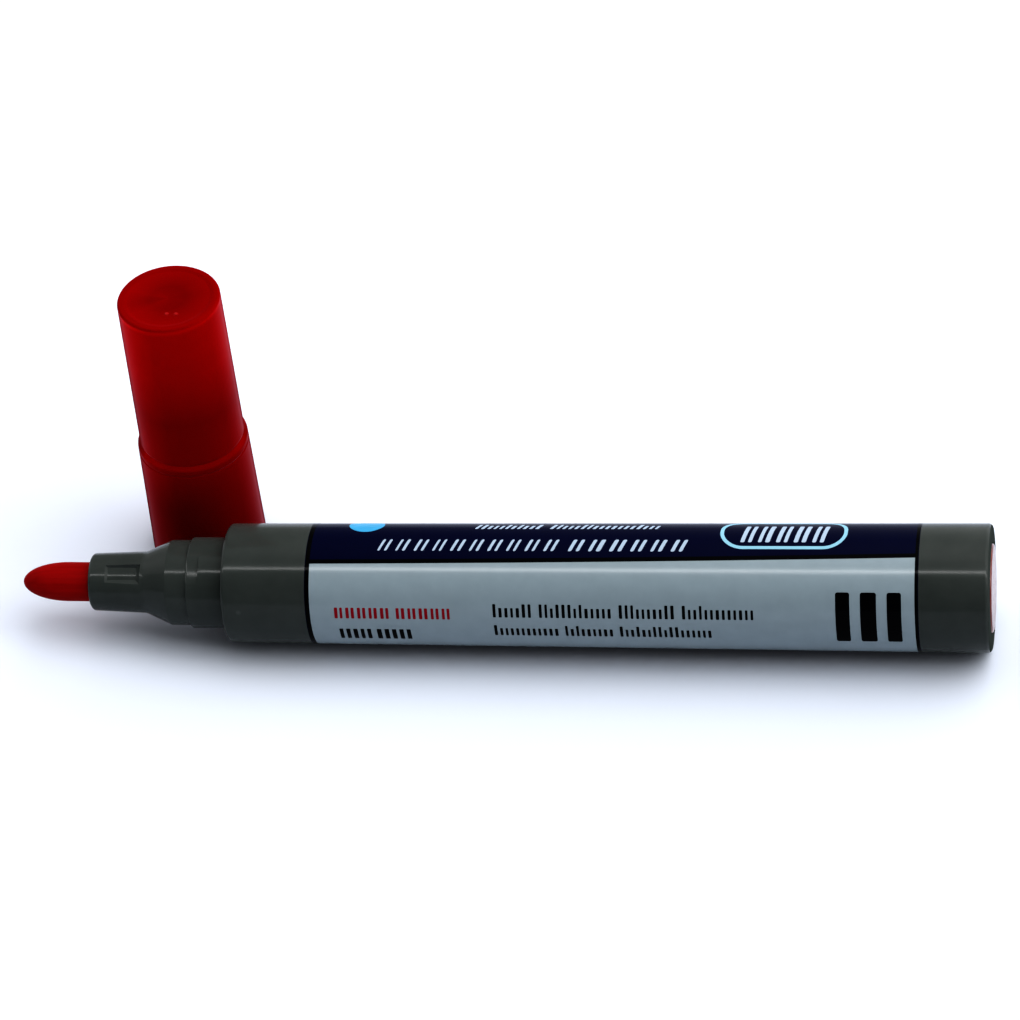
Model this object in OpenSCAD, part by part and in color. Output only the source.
// Whiteboard marker with a bullet nib, lying on its barrel, with its pulled-off cap standing behind the nose.
// Millimetres, +Z up. The marker's axis runs along X: the nib points to -X, the rear plug to +X.
// The barrel is a slim cone that rests on its lower side, so the axis rises by the draft angle to the rear.
// The origin is on the resting surface, under the middle of the whole object's box.

/* [Barrel] */
// Length of the barrel, front shoulder to rear rim
barrel_length = 102; // [96:1:110]
// Radius of the barrel at its front shoulder
barrel_front_r = 8; // [7.9:0.05:8.3]
// Radius of the barrel at its rear rim
barrel_rear_r = 8.53; // [8.4:0.01:8.8]
// Radius of the bore at the front, which the nose is pressed into
seat_r = 6.8; // [6.75:0.01:6.9]
// Depth of that front bore
seat_depth = 9.6; // [9.4:0.1:11]
// Radius of the ink chamber behind the nose
chamber_front_r = 6.55; // [6.45:0.05:6.6]
// Radius of the ink chamber in front of the rear plug
chamber_rear_r = 6.35; // [6.3:0.05:6.4]
// Radius of the refill hole that the rear plug closes
plug_hole_r = 5.95; // [5.6:0.05:5.95]
// Depth of the refill hole
plug_hole_depth = 4; // [3.5:0.1:5]

/* [Label] */
// Distance from the front shoulder to the label
label_start = 11.5; // [8:0.5:16]
// Distance from the front shoulder to the label's rear edge
label_end = 92.8; // [80:0.1:94]
// Thickness of the printed film
film = 0.06; // [0.04:0.01:0.12]
// Thickness of the glue under the film
glue = 0.02; // [0.01:0.01:0.03]
// How far the film lies below the barrel's surface, in its shallow recess
label_sink = 0.01; // [0.01:0.01:0.03]

/* [Nose] */
// Length of the nose in front of the shoulder
nose_length = 19; // [18.5:0.1:21]
// Radius of the slim front tube at its mouth
tube_front_r = 3.85; // [3.7:0.05:4]
// Radius of the slim front tube where the flare starts
tube_rear_r = 4.15; // [4.05:0.05:4.3]
// Distance from the shoulder to the start of the flare
flare_front = 11.5; // [10.8:0.1:11.7]
// Distance from the shoulder to the end of the flare
flare_rear = 8; // [7.5:0.1:8.4]
// Radius of the neck between the flare and the collar
neck_r = 5.74; // [5.6:0.01:5.9]
// Radius of the collar that the cap slides over
collar_r = 6.12; // [6.11:0.01:6.14]
// Length of the collar, shoulder to neck
collar_length = 5.1; // [4.8:0.1:5.6]

/* [Nib] */
// Radius of the fibre nib
nib_r = 2.64; // [2.4:0.02:2.7]
// Distance from the shoulder to the tip of the nib
nib_reach = 28.6; // [27.5:0.1:30]
// Length of the rounded point
point_length = 6.3; // [5:0.1:7]
// Distance that the nib's tail runs behind the shoulder
tail_length = 14; // [12.5:0.5:16]

/* [Cap] */
// Height of the standing cap
cap_height = 43.35; // [42:0.05:46]
// Outer radius at the mouth
mouth_r = 7.82; // [7.75:0.01:7.95]
// Outer radius under the ledge
skirt_top_r = 7.52; // [7.45:0.01:7.65]
// Outer radius just above the ledge
crown_low_r = 7.11; // [7.05:0.01:7.2]
// Outer radius at the top
crown_top_r = 6.9; // [6.85:0.01:7]
// Height of the small step under the ledge
ledge_low = 18.1; // [17:0.1:18.6]
// Height of the crown's foot, above the ledge
ledge_high = 19.9; // [19.7:0.1:20.6]
// Radius of the bore that slides over the collar
cap_bore_r = 6.22; // [6.2:0.01:6.3]
// Where the cap stands: distance in front of the shoulder
cap_ahead = 6.65; // [-40:0.05:12]
// Where the cap stands: distance behind the marker's axis
cap_behind = 17.3; // [17:0.1:60]

/* [Rear plug] */
// How far the plug stands out of the rear rim
plug_proud = 0.2; // [0:0.1:1]

/* [Hidden] */
$fn = 96;

// Clearances: a moving fit, and a narrow gap between parts that are fixed to each other
slide_gap = 0.05;
seat_gap = 0.02;

// Edge rounds
shoulder_round = 0.5;
rim_round = 0.5;
nose_round = 0.55;
mouth_round = 0.35;
crown_round = 0.55;

// The draft of the barrel: its axis rises by this angle when it lies on its side
draft = (barrel_rear_r - barrel_front_r) / (barrel_length - shoulder_round - rim_round);
lean = atan(draft);

// The barrel's recess for the label, a little longer than the label
recess_depth = glue + film + label_sink;
recess_gap = 0.03;

// Nose outside: the blend into the flare, the flare's rounded end, and the lead-ins of the collar and skirt
flare_blend_r = 2;
flare_blend_end = 141;
flare_edge_r = 0.3;
flare_edge_length = 0.35;
collar_lead_r = 0.12;
collar_lead_length = 0.2;
skirt_lead_r = 0.25;
skirt_lead_length = 0.6;

// Nose insides: the cavity, the guide hole for the nib, and four ribs sunk a little into the wall
skirt_length = 9;
cavity_r = 5.6;
cavity_front_r = 4.6;
cavity_front = 6.4;
guide_rear = 9.4;
guide_r = nib_r + slide_gap;
rib_thickness = 0.9;
rib_front = 9;
rib_clearance = 0.1;
rib_sink = 0.3;
rib_rear = skirt_length - 1;
rib_cover = 0.45;

// Vent pocket in the front tube, and the flat in the front of the collar, both above the axis on the -Y side
vent_angle = 31;
vent_length = 4.9;
vent_width = 2.6;
vent_middle = 14.25;
vent_floor_r = 3.62;
flat_r = 5.81;
flat_length = 1.7;
cutter_height = 2;

// Nib tail
tail_chamfer = 0.6;

// Ink store
store_r = 5.78;
wrap_r = 5.9;
store_front = skirt_length + 0.1;
store_rear = barrel_length - 8;
store_hole_r = nib_r + 2 * slide_gap;
store_hole_rear = tail_length + 1;
wrap_inset = 0.5;

// Rear plug and the stop that it rests on
stop_r = 5.2;
stop_thickness = 1.2;
plug_r = plug_hole_r - slide_gap;
plug_wall = 1.15;
plug_round = 0.3;
plug_lead_r = 0.25;
plug_lead_length = 0.4;

// Cap insides: the mouth's chamfer, the bore for the collar, and the crown that holds the liner
mouth_chamfer_r = 0.3;
mouth_chamfer_height = 0.4;
bore_top = 13;
crown_bore_low_r = 5.95;
crown_bore_top_r = 5.75;
crown_bore_slope = 1;
cap_roof = 1.3;

// Cap outside: the step under the ledge, and the recessed top with its two gate marks
ledge_step_r = 0.04;
ledge_step_height = 0.15;
ledge_bulge = 0.02;
top_rim_width = 0.85;
top_rim_slope = 0.5;
top_recess = 0.12;
gate_r = 0.3;
gate_height = 0.1;
gate_x = [0.3, 1.55];
gate_y = -3.3;
gate_root = 0.1;

// Cap liner: an inner cap for the nib, held by ribs
liner_r = 4.32;
liner_wall = 0.7;
liner_low = bore_top + 0.2;
liner_gap = 0.15;
liner_roof = 0.8;
liner_lead_r = 0.3;
liner_lead_height = 0.5;
liner_edge_r = 0.2;
liner_ribs = 4;
liner_rib_low = 17.5;
liner_rib_root = 0.3;

// Where the marker and the cap stand in the object's frame
front_x = -nib_reach * cos(lean);
rear_x = (barrel_length + plug_proud) * cos(lean) + plug_r * sin(lean);
shoulder_x = -(front_x + rear_x) / 2;
axis_y = -(cap_behind + mouth_r - barrel_rear_r) / 2;
axis_z = (barrel_front_r - shoulder_round * draft) * cos(lean);

// Points along a round edge, from angle a0 to a1 about c
function arc(c, r, a0, a1, n = 6) = [
    for (i = [0:n]) c + r * [cos(a0 + (a1 - a0) * i / n), sin(a0 + (a1 - a0) * i / n)]
];

// Outer radius of the barrel at a distance behind the shoulder
function barrel_r(s) = barrel_front_r + (s - shoulder_round) * draft;

// Puts a marker piece in its lying place: drawn along X, with the shoulder's centre at the origin
module lying() {
    translate([shoulder_x, axis_y, axis_z]) rotate([0, -lean, 0]) children();
}

// A turned piece whose outline is [radius, distance behind the shoulder]
module turned(outline) {
    rotate([0, 90, 0]) rotate_extrude() polygon(outline);
}

// A cap piece in its standing place: drawn mouth down, with the mouth's centre at the origin
module standing() {
    translate([shoulder_x - cap_ahead, axis_y + cap_behind, 0]) children();
}

module barrel() {
    stop_rear = barrel_length - plug_hole_depth;
    stop_front = stop_rear - stop_thickness;
    recess_start = label_start - recess_gap;
    recess_end = label_end + recess_gap;
    color("dimgray") lying() turned(concat(
        [[seat_r, 0]],
        arc([barrel_front_r - shoulder_round, shoulder_round], shoulder_round, -90, 0),
        [
            [barrel_r(recess_start), recess_start],
            [barrel_r(recess_start) - recess_depth, recess_start],
            [barrel_r(recess_end) - recess_depth, recess_end],
            [barrel_r(recess_end), recess_end]
        ],
        arc([barrel_rear_r - rim_round, barrel_length - rim_round], rim_round, 0, 90),
        [
            [plug_hole_r, barrel_length],
            [plug_hole_r, stop_rear],
            [stop_r, stop_rear],
            [stop_r, stop_front],
            [chamber_rear_r, stop_front],
            [chamber_front_r, seat_depth],
            [seat_r, seat_depth]
        ]
    ));
}

module label() {
    outer = [barrel_r(label_start) - label_sink, barrel_r(label_end) - label_sink];
    color("midnightblue") lying() turned([
        [outer[0] - film, label_start],
        [outer[0], label_start],
        [outer[1], label_end],
        [outer[1] - film, label_end]
    ]);
}

// Outside of the nose, from its mouth to the end of the skirt inside the barrel
function nose_outside() = concat(
    arc([tube_front_r - nose_round, -nose_length + nose_round], nose_round, -90, 0),
    arc([tube_rear_r + flare_blend_r, -flare_front], flare_blend_r, 180, flare_blend_end, 4),
    [
        [neck_r - flare_edge_r, -flare_rear - flare_edge_length],
        [neck_r, -flare_rear],
        [neck_r, -collar_length],
        [collar_r - collar_lead_r, -collar_length],
        [collar_r, -collar_length + collar_lead_length],
        [collar_r, 0],
        [seat_r - seat_gap, 0],
        [seat_r - seat_gap, skirt_length - skirt_lead_length],
        [seat_r - seat_gap - skirt_lead_r, skirt_length]
    ]
);

// A rib that holds the nib on the axis and stands in the wall of the nose
module nose_rib() {
    rib_foot = guide_r + rib_clearance;
    translate([-rib_front, -rib_thickness / 2, rib_foot])
        cube([rib_front + rib_rear, rib_thickness, cavity_r + rib_sink - rib_foot]);
}

// The space that the ribs may fill: inside the outer skin of the nose
module rib_space() {
    turned([
        [0, -nose_length],
        [tube_rear_r - rib_cover, -rib_front],
        [neck_r - rib_cover, -cavity_front],
        [neck_r, 0],
        [cavity_r + rib_sink, skirt_length],
        [0, skirt_length]
    ]);
}

// A block that cuts down to floor_r, centred a distance in front of the shoulder
module flat_cutter(floor_r, middle, length, width) {
    translate([-middle, 0, floor_r + cutter_height / 2])
        cube([length, width, cutter_height], center = true);
}

module nose() {
    flat_middle = collar_length - (flat_length - seat_gap) / 2;
    color("dimgray") lying() difference() {
        union() {
            turned(concat(
                [[guide_r, -guide_rear], [guide_r, -nose_length]],
                nose_outside(),
                [[cavity_r, skirt_length], [cavity_r, 0], [cavity_front_r, -cavity_front]]
            ));
            intersection() {
                for (i = [0:3]) rotate([i * 90 + 45, 0, 0]) nose_rib();
                rib_space();
            }
        }
        rotate([vent_angle, 0, 0]) {
            flat_cutter(vent_floor_r, vent_middle, vent_length, vent_width);
            flat_cutter(flat_r, flat_middle, flat_length + seat_gap, 2 * neck_r);
        }
    }
}

module nib() {
    steps = 12;
    point = [
        for (i = [0:steps]) let (a = 90 * i / steps)
            [nib_r * sin(a), -nib_reach + point_length * (1 - cos(a))]
    ];
    color("firebrick") lying() turned(concat(
        point,
        [[nib_r, tail_length - tail_chamfer], [nib_r - tail_chamfer, tail_length], [0, tail_length]]
    ));
}

module reservoir() {
    color("lightcoral") lying() turned([
        [store_hole_r, store_front],
        [store_r, store_front],
        [store_r, store_rear],
        [0, store_rear],
        [0, store_hole_rear],
        [store_hole_r, store_hole_rear]
    ]);
}

module reservoir_wrap() {
    color("whitesmoke") lying() turned([
        [store_r + seat_gap, store_front + wrap_inset],
        [wrap_r, store_front + wrap_inset],
        [wrap_r, store_rear - wrap_inset],
        [store_r + seat_gap, store_rear - wrap_inset]
    ]);
}

module rear_plug() {
    face = barrel_length + plug_proud;
    inner_end = barrel_length - plug_hole_depth + seat_gap;
    color("firebrick") lying() turned(concat(
        [[0, face - plug_wall], [plug_r - plug_wall, face - plug_wall], [plug_r - plug_wall, inner_end]],
        [[plug_r - plug_lead_r, inner_end], [plug_r, inner_end + plug_lead_length]],
        arc([plug_r - plug_round, face - plug_round], plug_round, 0, 90, 4),
        [[0, face]]
    ));
}

// The rounded ledge, a quarter wave from the skirt up to the crown
function ledge() = [
    for (a = [0:15:90])
        [
            crown_low_r + (skirt_top_r + ledge_bulge - crown_low_r) * cos(a),
            ledge_low + ledge_step_height + (ledge_high - ledge_low - ledge_step_height) * sin(a)
        ]
];

// Outside of the cap, from the mouth to the middle of the recessed top
function cap_outside() = concat(
    arc([mouth_r - mouth_round, mouth_round], mouth_round, -90, 0, 4),
    [[skirt_top_r, ledge_low - ledge_step_height], [skirt_top_r - ledge_step_r, ledge_low]],
    ledge(),
    arc([crown_top_r - crown_round, cap_height - crown_round], crown_round, 0, 90),
    [
        [crown_top_r - top_rim_width, cap_height],
        [crown_top_r - top_rim_width - top_rim_slope, cap_height - top_recess],
        [0, cap_height - top_recess]
    ]
);

module cap_shell() {
    roof = cap_height - cap_roof;
    color("darkred") standing() union() {
        rotate_extrude() polygon(concat(
            [[0, roof], [crown_bore_top_r, roof], [crown_bore_low_r, bore_top + crown_bore_slope]],
            [[cap_bore_r, bore_top], [cap_bore_r, mouth_chamfer_height], [cap_bore_r + mouth_chamfer_r, 0]],
            cap_outside()
        ));
        for (x = gate_x) translate([x, gate_y, cap_height - top_recess - gate_root])
            cylinder(r = gate_r, h = gate_height + gate_root, $fn = 24);
    }
}

module cap_liner() {
    roof = cap_height - cap_roof - liner_gap;
    outer_r = liner_r + liner_wall;
    rib_r = crown_bore_top_r - liner_gap;
    color("mistyrose") standing() union() {
        rotate_extrude() polygon([
            [0, roof - liner_roof],
            [liner_r, roof - liner_roof],
            [liner_r, liner_low + liner_lead_height],
            [liner_r + liner_lead_r, liner_low],
            [outer_r - liner_edge_r, liner_low],
            [outer_r, liner_low + liner_lead_height],
            [outer_r, roof],
            [0, roof]
        ]);
        for (i = [0:liner_ribs - 1]) rotate(i * 360 / liner_ribs)
            translate([outer_r - liner_rib_root, -rib_thickness / 2, liner_rib_low])
                cube([rib_r - outer_r + liner_rib_root, rib_thickness, roof - liner_rib_low]);
    }
}

barrel();
label();
nose();
nib();
reservoir();
reservoir_wrap();
rear_plug();
cap_shell();
cap_liner();
